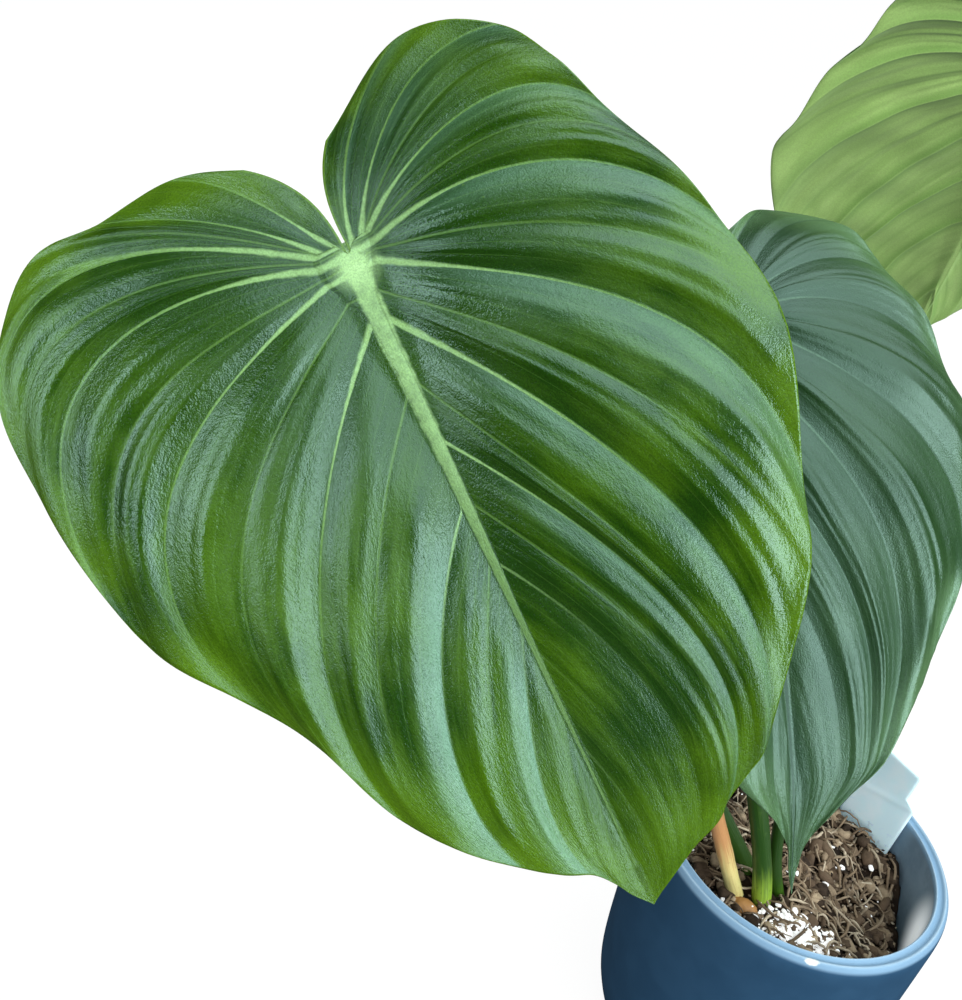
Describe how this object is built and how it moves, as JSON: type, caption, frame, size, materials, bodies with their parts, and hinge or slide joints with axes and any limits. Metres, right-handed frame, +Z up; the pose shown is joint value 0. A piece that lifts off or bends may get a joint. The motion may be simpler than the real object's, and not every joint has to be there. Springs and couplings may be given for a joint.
{
  "type": "potted philodendron",
  "caption": "Potted aroid house plant with large heart-shaped, deeply veined leaves on long stalks, in a round smooth pot of bark mix with a blank plant label.",
  "frame": {"origin": "centre of the pot's flat underside, which rests on a surface", "axes": "+Z up along the pot's axis; the front leaf faces -Y and leans out over -X; the label stands at the +X side"},
  "size_m": [0.4518, 0.3885, 0.4885],
  "materials": {
    "pot": "smooth satin blue",
    "soil": "loose bark and fibre",
    "petiole_front": "smooth living stalk",
    "petiole_middle": "smooth living stalk",
    "petiole_back": "smooth living stalk",
    "old_petiole": "fading stalk",
    "leaf_front": "satin leaf",
    "leaf_middle": "satin leaf",
    "leaf_back": "matte leaf",
    "plant_label": "pale plastic"
  },
  "bodies": {
    "root": {"pot": "pot", "soil": "soil", "petiole_front": "petiole_front", "petiole_middle": "petiole_middle", "petiole_back": "petiole_back", "old_petiole": "old_petiole", "leaf_front": "leaf_front", "leaf_middle": "leaf_middle", "leaf_back": "leaf_back", "plant_label": "plant_label"}
  },
  "joints": []
}
